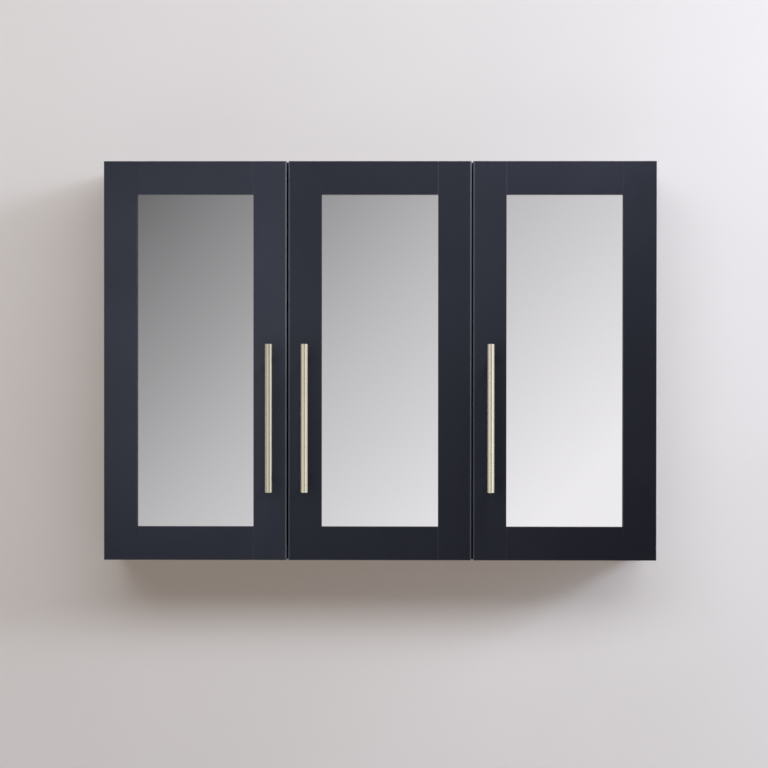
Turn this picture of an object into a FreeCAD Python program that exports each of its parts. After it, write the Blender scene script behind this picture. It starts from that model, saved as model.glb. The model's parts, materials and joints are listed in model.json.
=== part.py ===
import FreeCAD, Part
import math
import os

# Wall cabinet with three framed mirror doors on concealed four-bar hinges.
# Millimetres, +X to the right, +Y towards the wall, +Z up.
# The origin lies on the wall face, in the middle of the four wall fixing holes.

Vector = FreeCAD.Vector

# Overall size
cabinet_width = 900.0
cabinet_height = 650.0
carcass_depth = 128.0

# Carcass boards
panel_thickness = 16.0
panel_edge_radius = 1.0
back_thickness = 5.0
groove_depth = 6.0
groove_slack = 0.5            # room left at the bottom of each groove
rail_thickness = 16.0         # wall rails, behind the back panel
rail_height = 80.0
fixing_spacing = 700.0        # between the two wall fixing holes of a rail
fixing_hole = 6.0
dowel_diameter = 8.0
dowel_length = 30.0
dowel_in_panel = 10.0         # how far a dowel reaches into the panel that it stands in
dowel_inset = 28.0            # from the front and rear edges of the carcass

# Shelves and their pins
shelf_count = 2
shelf_thickness = 16.0
shelf_side_gap = 1.0
shelf_back_gap = 1.0
shelf_setback = 16.0          # front edge of a shelf behind the front of the carcass
pin_diameter = 5.0
pin_depth = 9.0
pin_inset = 18.0              # from the front and rear edges of a shelf
pin_pitch = 32.0              # spare holes above and below each pin
tongue_length = 9.0
tongue_width = 9.0
tongue_height = 2.5
collar_diameter = 9.0
collar_height = 0.8

# Doors
door_gap = 3.0                # between two doors
rear_gap = 2.0                # between the doors and the carcass
door_thickness = 20.0
frame_width = 54.0            # stiles and rails
front_radius = 1.0            # round the outside of a door, in front
rear_radius = 1.0             # along the upright edges, behind
joint_ease = 0.5              # along the inner edges of the frame
tenon_length = 20.0
tenon_height = 28.0
tenon_thickness = 6.5
tenon_slack = 0.1
mirror_setback = 8.0          # glass behind the face of the frame
mirror_thickness = 4.0
backing_thickness = 3.0
rebate_width = 10.0
glass_slack = 1.0
bumper_diameter = 8.0
bumper_inset = 30.0           # from the free edge of the door
bumper_slack = 0.1

# Bar handles
bar_diameter = 12.0
bar_length = 240.0
bar_end_radius = 0.5
bar_projection = 35.0         # from the face of the door to the outside of the bar
handle_drop = 93.0            # middle of the handle below the middle of the door
post_spacing = 192.0
post_diameter = 8.0
post_socket = 4.0             # how far a post enters the bar
handle_screw_diameter = 4.0
handle_screw_head = 8.0
handle_screw_head_height = 2.0
handle_screw_grip = 10.0      # length of thread in the post
screw_hole_slack = 0.25

# Concealed hinges. A pivot is given from the hinge edge of the door and, forward, from its back face.
hinge_inset = 100.0           # from the top and bottom of the door
opening_angle = 95.0
inner_arm_pivot = (26.4, -6.3)
inner_cup_pivot = (11.3, 5.4)
outer_arm_pivot = (42.0, -3.0)
outer_cup_pivot = (15.8, 3.1)
inner_link_turn = -0.424      # turn of the inner link for each degree that the door opens
hinge_pin_diameter = 2.0
pin_running_gap = 0.05
link_half_width = 1.6
eye_radius = 2.3
inner_link_bow = 8.9          # how far the gooseneck stands off the line between its pivots
inner_link_thickness = 4.6
inner_lug_thickness = 1.2     # beside the inner link, at its cup pin
outer_plate_thickness = 2.0
link_side_gap = 0.3
bridge_start = 3.6            # cross piece of the outer link, from its arm pivot
bridge_length = 4.4
bridge_half_width = 0.8
arm_plate_thickness = 1.2
arm_web_thickness = 1.5
arm_length = 58.0             # behind the front of the carcass
arm_crank_start = 26.0
arm_shoulder = 20.0
arm_nose_radius = 2.5
arm_lift = 3.0                # edge of the arm's sides above the panel
plate_thickness = 2.0
plate_setback = 37.0          # screw line behind the front of the carcass
plate_width = 18.0
plate_length = 46.0
plate_corner = 6.0
plate_screw_spacing = 32.0
spine_height = 11.0
spine_length = 40.0
cup_diameter = 35.0
cup_depth = 12.0
cup_wall = 1.2
cup_fit = 0.1
cup_edge = 5.0                # from the hinge edge of the door to the cup
lug_thickness = 1.6
lug_radius = 2.6              # round the middle of a cup pin
flange_thickness = 1.2
flange_screw_spacing = 48.0
flange_screw_offset = 6.0
flange_lobe = 12.0
flange_rim = 1.6
flange_reach = 14.0           # from the middle of the cup, across the door
wood_screw_diameter = 3.5
wood_screw_head = 6.5
wood_screw_head_height = 1.8
wood_screw_length = 10.0

# Sizes that follow
half_width = cabinet_width / 2
half_height = cabinet_height / 2
inner_half_width = half_width - panel_thickness
inner_half_height = half_height - panel_thickness
carcass_front = -carcass_depth
back_rear = -rail_thickness
back_front = back_rear - back_thickness
door_count = 3
door_width = (cabinet_width - (door_count - 1) * door_gap) / door_count
door_back = carcass_front - rear_gap
door_front = door_back - door_thickness
opening_half = half_height - frame_width
glass_front = door_front + mirror_setback
glass_back = glass_front + mirror_thickness
board_back = glass_back + backing_thickness
partition_middle = half_width - door_width - door_gap / 2
partition_left = partition_middle - panel_thickness / 2
partition_right = partition_middle + panel_thickness / 2
partition_overlay = (panel_thickness - door_gap) / 2
hinge_levels = (half_height - hinge_inset, hinge_inset - half_height)
cup_middle = cup_edge + cup_diameter / 2
tolerance = 0.001
path_steps = 8                # places where the path of the outer cup pin is looked at


def block(x, y, z):
    # box from its low and high value along each axis
    corner = Vector(x[0], y[0], z[0])
    return Part.makeBox(x[1] - x[0], y[1] - y[0], z[1] - z[0], corner)


def rod(diameter, start, end):
    path = end - start
    return Part.makeCylinder(diameter / 2, path.Length, start, path)


def join(shapes):
    return shapes[0].fuse(shapes[1:]).removeSplitter()


def trim(shape, cutters):
    return shape.cut(Part.makeCompound(cutters))


def edges_on(shape, x=None, y=None, z=None):
    # edges that lie in each of the planes that are given
    picked = []
    for edge in shape.Edges:
        bound = edge.BoundBox
        on_x = x is None or max(abs(bound.XMin - x), abs(bound.XMax - x)) < tolerance
        on_y = y is None or max(abs(bound.YMin - y), abs(bound.YMax - y)) < tolerance
        on_z = z is None or max(abs(bound.ZMin - z), abs(bound.ZMax - z)) < tolerance
        if on_x and on_y and on_z:
            picked.append(edge)
    return picked


def spread(spacing, middle=0.0):
    return (middle - spacing / 2, middle + spacing / 2)


def export(name, shapes):
    solids = []
    for shape in shapes:
        solids.extend(shape.Solids)
    whole = solids[0] if len(solids) == 1 else Part.makeCompound(solids)
    whole.exportStep("parts/" + name + ".step")


# Carcass


def dowel_rows():
    return (carcass_front + dowel_inset, back_front - dowel_inset)


def side_dowels(side):
    # through the joints of one side panel with the top and bottom panels
    face = side * inner_half_width
    level = half_height - panel_thickness / 2
    dowels = []
    for z in (level, -level):
        for y in dowel_rows():
            start = Vector(face + side * dowel_in_panel, y, z)
            end = Vector(face - side * (dowel_length - dowel_in_panel), y, z)
            dowels.append(rod(dowel_diameter, start, end))
    return dowels


def partition_dowels():
    dowels = []
    for end_side in (1, -1):
        face = end_side * inner_half_height
        for y in dowel_rows():
            start = Vector(partition_middle, y, face + end_side * dowel_in_panel)
            end = Vector(partition_middle, y, face - end_side * (dowel_length - dowel_in_panel))
            dowels.append(rod(dowel_diameter, start, end))
    return dowels


def back_groove():
    # space that the back panel takes up in the boards round it
    reach_x = inner_half_width + groove_depth
    reach_z = inner_half_height + groove_depth
    return block((-reach_x, reach_x), (back_front, back_rear), (-reach_z, reach_z))


def ease_front(shape, **plane):
    edges = edges_on(shape, y=carcass_front, **plane)
    return shape.makeFillet(panel_edge_radius, edges)


def side_panel(side):
    outer = side * half_width
    inner = side * inner_half_width
    panel = block(sorted((outer, inner)), (carcass_front, 0), (-half_height, half_height))
    panel = ease_front(panel, x=outer)
    return trim(panel, [back_groove()] + side_dowels(side) + shelf_pin_holes(inner, side))


def level_panel(side):
    # the top panel has side 1, the bottom panel -1
    z = sorted((side * inner_half_height, side * half_height))
    panel = block((-inner_half_width, inner_half_width), (carcass_front, 0), z)
    dowels = side_dowels(1) + side_dowels(-1) + partition_dowels()
    return trim(panel, [back_groove()] + dowels)


def partition_panel():
    x = (partition_left, partition_right)
    panel = block(x, (carcass_front, back_front), (-inner_half_height, inner_half_height))
    holes = shelf_pin_holes(partition_left, 1) + shelf_pin_holes(partition_right, -1)
    return trim(panel, partition_dowels() + holes)


def fixing_holes():
    level = inner_half_height - rail_height / 2
    holes = []
    for x in spread(fixing_spacing):
        for z in (level, -level):
            holes.append(rod(fixing_hole, Vector(x, back_front, z), Vector(x, 0, z)))
    return holes


def back_panel():
    reach_x = inner_half_width + groove_depth - groove_slack
    reach_z = inner_half_height + groove_depth - groove_slack
    panel = block((-reach_x, reach_x), (back_front, back_rear), (-reach_z, reach_z))
    return trim(panel, fixing_holes())


def wall_rail(side):
    z = sorted((side * inner_half_height, side * (inner_half_height - rail_height)))
    rail = block((-inner_half_width, inner_half_width), (back_rear, 0), z)
    return trim(rail, fixing_holes())


# Shelves


def shelf_levels():
    # undersides of the shelves, evenly spaced
    clear = (2 * inner_half_height - shelf_count * shelf_thickness) / (shelf_count + 1)
    return [-inner_half_height + clear + i * (clear + shelf_thickness) for i in range(shelf_count)]


def shelf_depth():
    return (carcass_front + shelf_setback, back_front - shelf_back_gap)


def pin_rows():
    front, rear = shelf_depth()
    return (front + pin_inset, rear - pin_inset)


def shelf(left, right, level):
    x = (left + shelf_side_gap, right - shelf_side_gap)
    board = block(x, shelf_depth(), (level, level + shelf_thickness))
    front = shelf_depth()[0]
    return board.makeFillet(panel_edge_radius, edges_on(board, y=front, z=level + shelf_thickness))


def pin_level(level):
    return level - pin_diameter / 2


def shelf_pin_holes(face, side):
    # blind holes into the panel that lies on this side of its face
    holes = []
    for level in shelf_levels():
        for step in (-1, 0, 1):
            for y in pin_rows():
                start = Vector(face, y, pin_level(level) + step * pin_pitch)
                holes.append(rod(pin_diameter, start, start + Vector(side * pin_depth, 0, 0)))
    return holes


def shelf_pin(face, side, y, level):
    start = Vector(face + side * pin_depth, y, pin_level(level))
    end = Vector(face - side * tongue_length, y, pin_level(level))
    pin = rod(pin_diameter, start, end)
    collar_start = Vector(face, y, pin_level(level))
    collar = rod(collar_diameter, collar_start, collar_start - Vector(side * collar_height, 0, 0))
    x = sorted((face, face - side * tongue_length))
    tongue = block(x, spread(tongue_width, y), (level - tongue_height, level))
    above = block(x, spread(2 * collar_diameter, y), (level, level + collar_diameter))
    return join([pin, collar, tongue]).cut(above)


def shelf_pins():
    pins = []
    faces = ((-inner_half_width, -1), (partition_left, 1), (partition_right, -1), (inner_half_width, 1))
    for face, side in faces:
        for level in shelf_levels():
            for y in pin_rows():
                pins.append(shelf_pin(face, side, y, level))
    return pins


# Doors. Every door is made with its hinge edge at x = 0 and its free edge on the right.


def tenon(side, end, slack):
    # stub tenon of the upper (side 1) or lower (-1) rail, at its hinge end (1) or free end (-1)
    shoulder = frame_width if end > 0 else door_width - frame_width
    x = sorted((shoulder, shoulder - end * (tenon_length + slack)))
    y = spread(tenon_thickness + 2 * slack, (door_front + door_back) / 2)
    level = side * (opening_half + rebate_width + half_height) / 2
    return block(x, y, spread(tenon_height + 2 * slack, level))


def rebate():
    # recess behind the frame's lip for mirror, backing board and beads
    x = (frame_width - rebate_width, door_width - frame_width + rebate_width)
    reach = opening_half + rebate_width
    return block(x, (glass_front, door_back), (-reach, reach))


def stile(outer, end):
    inner = frame_width if end > 0 else door_width - frame_width
    post = block(sorted((outer, inner)), (door_front, door_back), (-half_height, half_height))
    round_edges = edges_on(post, x=outer, y=door_front)
    for z in (half_height, -half_height):
        round_edges.extend(edges_on(post, y=door_front, z=z))
    post = post.makeFillet(front_radius, round_edges)
    post = post.makeFillet(rear_radius, edges_on(post, x=outer, y=door_back))
    post = post.makeChamfer(joint_ease, edges_on(post, x=inner, y=door_front))
    mortises = [tenon(side, end, tenon_slack) for side in (1, -1)]
    return trim(post, [rebate()] + mortises)


def hinge_stile():
    cutters = []
    for level in hinge_levels:
        cutters.append(cup_body(level, cup_diameter / 2 + cup_fit))
        cutters.extend(cup_screw(level, side, screw_hole_slack) for side in (1, -1))
    return trim(stile(0, 1), cutters)


def handle_stile():
    holes = [handle_screw(level, screw_hole_slack) for level in post_levels()]
    return trim(stile(door_width, -1), holes)


def rail(side):
    x = (frame_width, door_width - frame_width)
    outer = side * half_height
    inner = side * opening_half
    bar = block(x, (door_front, door_back), sorted((inner, outer)))
    bar = bar.makeFillet(front_radius, edges_on(bar, y=door_front, z=outer))
    bar = bar.makeChamfer(joint_ease, edges_on(bar, y=door_front, z=inner))
    bar = bar.cut(rebate())
    return join([bar, tenon(side, 1, 0), tenon(side, -1, 0)])


def pane(front, back):
    # sheet that lies in the rebate
    reach = rebate_width - glass_slack
    x = (frame_width - reach, door_width - frame_width + reach)
    return block(x, (front, back), (-opening_half - reach, opening_half + reach))


def beads():
    # four strips that hold the mirror and its board in the rebate
    x = (frame_width - rebate_width, door_width - frame_width + rebate_width)
    y = (board_back, door_back)
    outer = opening_half + rebate_width
    strips = []
    for side in (1, -1):
        strips.append(block(x, y, sorted((side * opening_half, side * outer))))
    for edge in ((x[0], frame_width), (door_width - frame_width, x[1])):
        strips.append(block(edge, y, (-opening_half, opening_half)))
    return strips


def bumpers():
    pads = []
    level = half_height - panel_thickness / 2
    for z in (level, -level):
        start = Vector(door_width - bumper_inset, door_back, z)
        pads.append(rod(bumper_diameter, start, start + Vector(0, rear_gap - bumper_slack, 0)))
    return pads


# Handles


def handle_line():
    # the handle stands on the middle line of its stile
    return door_width - frame_width / 2


def bar_axis():
    return door_front - bar_projection + bar_diameter / 2


def post_levels():
    return spread(post_spacing, -handle_drop)


def handle_post(level):
    start = Vector(handle_line(), door_front, level)
    end = Vector(handle_line(), bar_axis() + bar_diameter / 2 - post_socket, level)
    return rod(post_diameter, start, end)


def handle_bar():
    bottom = Vector(handle_line(), bar_axis(), -handle_drop - bar_length / 2)
    top = bottom + Vector(0, 0, bar_length)
    bar = rod(bar_diameter, bottom, top)
    ends = edges_on(bar, z=bottom.z) + edges_on(bar, z=top.z)
    bar = bar.makeFillet(bar_end_radius, ends)
    return trim(bar, [handle_post(level) for level in post_levels()])


def handle_screw(level, slack=0.0):
    seat = Vector(handle_line(), door_back, level)
    tip = Vector(handle_line(), door_front - handle_screw_grip, level)
    head = rod(handle_screw_head, seat, seat + Vector(0, handle_screw_head_height, 0))
    return join([head, rod(handle_screw_diameter + 2 * slack, tip, seat)])


def handle_posts():
    return [handle_post(level).cut(handle_screw(level)) for level in post_levels()]


# Hinges


def plan(pivot, level):
    # a point of the hinge's plan view, at a height
    return Vector(pivot[0], door_back - pivot[1], level)


def slab(points, bottom, top):
    # flat outline of the plan view, between two heights
    corners = [plan(point, bottom) for point in points]
    outline = Part.Face(Part.makePolygon(corners + corners[:1]))
    return outline.extrude(Vector(0, 0, top - bottom))


def upright(diameter, pivot, bottom, top):
    return rod(diameter, plan(pivot, bottom), plan(pivot, top))


def turned(point, centre, degrees):
    angle = math.radians(degrees)
    u = point[0] - centre[0]
    w = point[1] - centre[1]
    new_u = centre[0] + u * math.cos(angle) - w * math.sin(angle)
    new_w = centre[1] + u * math.sin(angle) + w * math.cos(angle)
    return (new_u, new_w)


def with_door(point, degrees):
    # where a point of the door is when the door has opened that far
    pivot = turned(inner_cup_pivot, inner_arm_pivot, inner_link_turn * degrees)
    moved = turned(point, inner_cup_pivot, degrees)
    return (moved[0] + pivot[0] - inner_cup_pivot[0], moved[1] + pivot[1] - inner_cup_pivot[1])


def direction(start, end):
    return math.degrees(math.atan2(end[1] - start[1], end[0] - start[0]))


def outer_link_turn():
    # constant turn that brings the outer link to its cup pivot at both ends of the travel
    closed = direction(outer_arm_pivot, outer_cup_pivot)
    opened = direction(outer_arm_pivot, with_door(outer_cup_pivot, opening_angle))
    return (opened - closed) / opening_angle


def outer_pin_path(share):
    # the outer cup pin as the outer link sees it, at a share of the opening
    degrees = opening_angle * share
    return turned(with_door(outer_cup_pivot, degrees), outer_arm_pivot, -outer_link_turn() * degrees)


def strip(start, end, half, bottom, top):
    # straight bar with round ends
    length = math.dist(start, end)
    side_u = -(end[1] - start[1]) / length * half
    side_w = (end[0] - start[0]) / length * half
    corners = [
        (start[0] + side_u, start[1] + side_w),
        (end[0] + side_u, end[1] + side_w),
        (end[0] - side_u, end[1] - side_w),
        (start[0] - side_u, start[1] - side_w),
    ]
    ends = [upright(2 * half, point, bottom, top) for point in (start, end)]
    return join([slab(corners, bottom, top)] + ends)


def along(start, end, distance):
    share = distance / math.dist(start, end)
    return (start[0] + share * (end[0] - start[0]), start[1] + share * (end[1] - start[1]))


def inner_link(level):
    # gooseneck plate in the middle of the hinge, bowed round the rim of the cup
    start = inner_arm_pivot
    end = inner_cup_pivot
    bottom = level - inner_link_thickness / 2
    top = level + inner_link_thickness / 2
    chord = math.dist(start, end)
    radius = (chord * chord / 4 + inner_link_bow * inner_link_bow) / (2 * inner_link_bow)
    middle = ((start[0] + end[0]) / 2, (start[1] + end[1]) / 2)
    away = ((end[1] - start[1]) / chord, (start[0] - end[0]) / chord)
    to_centre = inner_link_bow - radius
    centre = (middle[0] + away[0] * to_centre, middle[1] + away[1] * to_centre)
    crown = (centre[0] + away[0] * radius, centre[1] + away[1] * radius)

    def offset(point, distance):
        return along(centre, point, radius + distance)

    edges = []
    for distance in (link_half_width, -link_half_width):
        points = [plan(offset(point, distance), bottom) for point in (start, crown, end)]
        edges.append(Part.Arc(points[0], points[1], points[2]).toShape())
    for point in (start, end):
        points = [plan(offset(point, distance), bottom) for distance in (link_half_width, -link_half_width)]
        edges.append(Part.makeLine(points[0], points[1]))
    outline = Part.Face(Part.Wire(Part.__sortEdges__(edges)))
    neck = outline.extrude(Vector(0, 0, top - bottom))
    eyes = [upright(2 * eye_radius, pivot, bottom, top) for pivot in (start, end)]
    bore = hinge_pin_diameter + 2 * pin_running_gap
    bores = [upright(bore, pivot, bottom, top) for pivot in (start, end)]
    return trim(join([neck] + eyes), bores)


def outer_plate_near():
    return inner_link_thickness / 2 + inner_lug_thickness + 2 * link_side_gap


def outer_plate_heights(level, side):
    near = level + side * outer_plate_near()
    far = near + side * outer_plate_thickness
    return sorted((near, far))


def outer_link(level):
    # two side plates joined by a cross piece; the cup end has a slot, where the linkage is open
    slot_end = outer_pin_path(0.5)
    slot_half = hinge_pin_diameter / 2 + outer_slot_slack()
    bore = hinge_pin_diameter + 2 * pin_running_gap
    plates = []
    for side in (1, -1):
        bottom, top = outer_plate_heights(level, side)
        bar = strip(outer_arm_pivot, outer_cup_pivot, link_half_width, bottom, top)
        eye = upright(2 * eye_radius, outer_arm_pivot, bottom, top)
        slot_wall = eye_radius - hinge_pin_diameter / 2
        slot_eye = strip(outer_cup_pivot, slot_end, slot_half + slot_wall, bottom, top)
        slot = strip(outer_cup_pivot, slot_end, slot_half, bottom, top)
        plate = join([bar, eye, slot_eye])
        plates.append(trim(plate, [slot, upright(bore, outer_arm_pivot, bottom, top)]))
    low = outer_plate_heights(level, -1)[0]
    high = outer_plate_heights(level, 1)[1]
    bridge_near = along(outer_arm_pivot, outer_cup_pivot, bridge_start)
    bridge_far = along(outer_arm_pivot, outer_cup_pivot, bridge_start + bridge_length)
    bridge = strip(bridge_near, bridge_far, bridge_half_width, low, high)
    return join(plates + [bridge])


def outer_slot_slack():
    # room beside the line of the slot for the pin's curved path, and a running gap
    start = outer_cup_pivot
    end = outer_pin_path(0.5)
    length = math.dist(start, end)
    strays = []
    for step in range(path_steps + 1):
        point = outer_pin_path(step / path_steps)
        cross = (end[0] - start[0]) * (point[1] - start[1]) - (end[1] - start[1]) * (point[0] - start[0])
        strays.append(abs(cross) / length)
    return max(strays) + 3 * pin_running_gap


def arm_half_width():
    return outer_plate_near() + outer_plate_thickness + link_side_gap + arm_plate_thickness


def arm_inner_half():
    return arm_half_width() - arm_plate_thickness


def hinge_arm(level, panel_face):
    # pressed channel: two sides that carry the arm pins, and a web over the mounting plate
    foot = panel_face + arm_lift
    web_low = panel_face + spine_height
    web_high = web_low + arm_web_thickness
    rear = -rear_gap - arm_length
    crank = -rear_gap - arm_crank_start
    shoulder = -rear_gap - arm_shoulder
    outline = [
        (foot, rear),
        (foot, crank),
        (inner_arm_pivot[0] - arm_nose_radius, inner_arm_pivot[1]),
        (outer_arm_pivot[0] + arm_nose_radius, outer_arm_pivot[1]),
        (web_high, shoulder),
        (web_high, rear),
    ]
    sides = []
    for side in (1, -1):
        bottom, top = sorted((level + side * arm_inner_half(), level + side * arm_half_width()))
        nose = strip(inner_arm_pivot, outer_arm_pivot, arm_nose_radius, bottom, top)
        sides.append(join([slab(outline, bottom, top), nose]))
    web_corners = [(web_low, rear), (web_low, shoulder), (web_high, shoulder), (web_high, rear)]
    web = slab(web_corners, level - arm_half_width(), level + arm_half_width())
    holes = [arm_screw(level, panel_face, screw_hole_slack)]
    for pivot in (inner_arm_pivot, outer_arm_pivot):
        holes.append(upright(hinge_pin_diameter, pivot, level - arm_half_width(), level + arm_half_width()))
    return trim(join(sides + [web]), holes)


def arm_pins(level):
    # a full pin for the inner link, and two stubs for the plates of the outer link
    half = arm_half_width()
    pins = [upright(hinge_pin_diameter, inner_arm_pivot, level - half, level + half)]
    for side in (1, -1):
        heights = sorted((level + side * outer_plate_near(), level + side * half))
        pins.append(upright(hinge_pin_diameter, outer_arm_pivot, heights[0], heights[1]))
    return pins


def screw_line():
    return -rear_gap - plate_setback


def plate_screw(level, panel_face, side, slack=0.0):
    height = level + side * plate_screw_spacing / 2
    seat = plan((panel_face + plate_thickness, screw_line()), height)
    tip = seat - Vector(wood_screw_length + plate_thickness, 0, 0)
    head = rod(wood_screw_head, seat, seat + Vector(wood_screw_head_height, 0, 0))
    return join([head, rod(wood_screw_diameter + 2 * slack, tip, seat)])


def arm_screw(level, panel_face, slack=0.0):
    # holds the arm on the spine of its mounting plate
    seat = plan((panel_face + spine_height + arm_web_thickness, screw_line()), level)
    tip = plan((panel_face + plate_thickness, screw_line()), level)
    head = rod(wood_screw_head, seat, seat + Vector(wood_screw_head_height, 0, 0))
    return join([head, rod(wood_screw_diameter + 2 * slack, tip, seat)])


def hinge_plate(level, panel_face):
    # cross-shaped foot on the panel, with a spine that fills the arm
    top = panel_face + plate_thickness
    wing = [
        (panel_face, screw_line() - plate_width / 2),
        (panel_face, screw_line() + plate_width / 2),
        (top, screw_line() + plate_width / 2),
        (top, screw_line() - plate_width / 2),
    ]
    foot = slab(wing, level - plate_length / 2, level + plate_length / 2)
    rounded = [edge for edge in foot.Edges if edges_along_x(edge)]
    foot = foot.makeFillet(plate_corner, rounded)
    spine_half = arm_inner_half() - pin_running_gap
    spine_ends = (screw_line() - spine_length / 2, screw_line() + spine_length / 2)
    ridge = [
        (panel_face, spine_ends[0]),
        (panel_face, spine_ends[1]),
        (panel_face + spine_height, spine_ends[1]),
        (panel_face + spine_height, spine_ends[0]),
    ]
    spine = slab(ridge, level - spine_half, level + spine_half)
    holes = [plate_screw(level, panel_face, side) for side in (1, -1)] + [arm_screw(level, panel_face)]
    return trim(join([foot, spine]), holes)


def edges_along_x(edge):
    bound = edge.BoundBox
    return bound.XLength > tolerance and bound.YLength < tolerance and bound.ZLength < tolerance


def cup_body(level, radius):
    start = plan((cup_middle, 0), level)
    return Part.makeCylinder(radius, cup_depth, start, Vector(0, -1, 0))


def cup_screw(level, side, slack=0.0):
    height = level + side * flange_screw_spacing / 2
    seat = plan((cup_middle + flange_screw_offset, -flange_thickness), height)
    tip = seat - Vector(0, wood_screw_length + flange_thickness, 0)
    head = rod(wood_screw_head, seat, seat + Vector(0, wood_screw_head_height, 0))
    return join([head, rod(wood_screw_diameter + 2 * slack, tip, seat)])


def inner_lug_near():
    return inner_link_thickness / 2 + link_side_gap


def inner_lug_far():
    return inner_lug_near() + inner_lug_thickness


def outer_lug_near():
    return arm_half_width() + link_side_gap


def outer_lug_far():
    return outer_lug_near() + lug_thickness


def lug(pivot, level, side, near, far):
    # ear that stands on the floor of the cup and carries a pin
    heights = sorted((level + side * near, level + side * far))
    ear = upright(2 * lug_radius, pivot, heights[0], heights[1])
    foot_y = (door_back - cup_depth, door_back - pivot[1])
    foot = block(spread(2 * lug_radius, pivot[0]), foot_y, heights)
    return join([ear, foot]).common(cup_body(level, cup_diameter / 2))


def cup_flange(level):
    # plate on the back of the door, cut away where the links and the arm pass
    start = plan((cup_middle, 0), level)
    rim = Part.makeCylinder(cup_diameter / 2 + flange_rim, flange_thickness, start, Vector(0, 1, 0))
    lobes = []
    for side in (1, -1):
        seat = plan((cup_middle + flange_screw_offset, 0), level + side * flange_screw_spacing / 2)
        lobes.append(rod(flange_lobe, seat, seat + Vector(0, flange_thickness, 0)))
    y = (door_back, door_back + flange_thickness)
    wing_x = spread(flange_lobe, cup_middle + flange_screw_offset)
    wing = block(wing_x, y, spread(flange_screw_spacing, level))
    kept = block(spread(2 * flange_reach, cup_middle), y, spread(flange_screw_spacing + flange_lobe, level))
    return join([rim, wing] + lobes).common(kept)


def hinge_cup(level):
    # pressed cup with a flange, and ears inside for the pins
    mouth = plan((cup_middle, -flange_thickness), level)
    hollow_depth = cup_depth - cup_wall + flange_thickness
    hollow = Part.makeCylinder(cup_diameter / 2 - cup_wall, hollow_depth, mouth, Vector(0, -1, 0))
    shell = join([cup_body(level, cup_diameter / 2), cup_flange(level)]).cut(hollow)
    lugs = []
    for side in (1, -1):
        lugs.append(lug(inner_cup_pivot, level, side, inner_lug_near(), inner_lug_far()))
        lugs.append(lug(outer_cup_pivot, level, side, outer_lug_near(), outer_lug_far()))
    holes = [cup_screw(level, side) for side in (1, -1)] + cup_pins(level)
    return trim(join([shell] + lugs), holes)


def cup_pins(level):
    # a short pin for the inner link, and two stubs for the slots of the outer link
    pins = [upright(hinge_pin_diameter, inner_cup_pivot, level - inner_lug_far(), level + inner_lug_far())]
    for side in (1, -1):
        heights = sorted((level + side * outer_plate_near(), level + side * outer_lug_far()))
        pins.append(upright(hinge_pin_diameter, outer_cup_pivot, heights[0], heights[1]))
    return pins


# Assembly: each door has a name, the place of its hinge edge, its hand and the overlay on its panel

doors = (
    ("left", -half_width, 1, panel_thickness),
    ("middle", partition_middle - door_gap / 2, -1, partition_overlay),
    ("right", half_width, -1, panel_thickness),
)


def hang(shapes, edge, hand):
    # from the drawing of a door to its place in the cabinet
    placed = []
    for shape in shapes:
        if hand < 0:
            shape = shape.mirror(Vector(0, 0, 0), Vector(1, 0, 0))
        placed.append(shape.translated(Vector(edge, 0, 0)))
    return placed


def at_hinges(make):
    return [solid for level in hinge_levels for solid in make(level)]


def door_nodes():
    return {
        "hinge_stile": [hinge_stile()],
        "handle_stile": [handle_stile()],
        "rails": [rail(1), rail(-1)],
        "mirror": [pane(glass_front, glass_back)],
        "backing_board": [pane(glass_back, board_back)],
        "beads": beads(),
        "bumpers": bumpers(),
        "handle_bar": [handle_bar()],
        "handle_posts": handle_posts(),
        "handle_screws": [handle_screw(level) for level in post_levels()],
        "hinge_cups": at_hinges(lambda level: [hinge_cup(level)]),
        "cup_pins": at_hinges(cup_pins),
        "cup_screws": at_hinges(lambda level: [cup_screw(level, side) for side in (1, -1)]),
        "inner_links": at_hinges(lambda level: [inner_link(level)]),
        "outer_links": at_hinges(lambda level: [outer_link(level)]),
    }


def plate_screws(level, panel_face):
    return [plate_screw(level, panel_face, side) for side in (1, -1)]


def carcass_nodes():
    plates = []
    arms = []
    pins = []
    screws = []
    drilled = {}
    for name, edge, hand, overlay in doors:
        foot = at_hinges(lambda level: [hinge_plate(level, overlay)])
        fixings = at_hinges(lambda level: plate_screws(level, overlay))
        plates.extend(hang(foot, edge, hand))
        arms.extend(hang(at_hinges(lambda level: [hinge_arm(level, overlay)]), edge, hand))
        pins.extend(hang(at_hinges(arm_pins), edge, hand))
        screws.extend(hang(fixings, edge, hand))
        screws.extend(hang(at_hinges(lambda level: [arm_screw(level, overlay)]), edge, hand))
        drilled[name] = hang(fixings, edge, hand)
    levels = shelf_levels()
    return {
        "left_side_panel": [trim(side_panel(-1), drilled["left"])],
        "right_side_panel": [trim(side_panel(1), drilled["right"])],
        "top_panel": [level_panel(1)],
        "bottom_panel": [level_panel(-1)],
        "partition_panel": [trim(partition_panel(), drilled["middle"])],
        "back_panel": [back_panel()],
        "wall_rails": [wall_rail(1), wall_rail(-1)],
        "wide_shelves": [shelf(-inner_half_width, partition_left, level) for level in levels],
        "narrow_shelves": [shelf(partition_right, inner_half_width, level) for level in levels],
        "shelf_pins": shelf_pins(),
        "dowels": side_dowels(1) + side_dowels(-1) + partition_dowels(),
        "hinge_plates": plates,
        "hinge_arms": arms,
        "arm_pins": pins,
        "hinge_screws": screws,
    }


os.makedirs("parts", exist_ok=True)
for node, shapes in carcass_nodes().items():
    export(node, shapes)
pieces = door_nodes()
for name, edge, hand, overlay in doors:
    for piece, shapes in pieces.items():
        export(name + "_" + piece, hang(shapes, edge, hand))
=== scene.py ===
import json
import math
import bmesh
import bpy
from mathutils import Matrix, Vector

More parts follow.
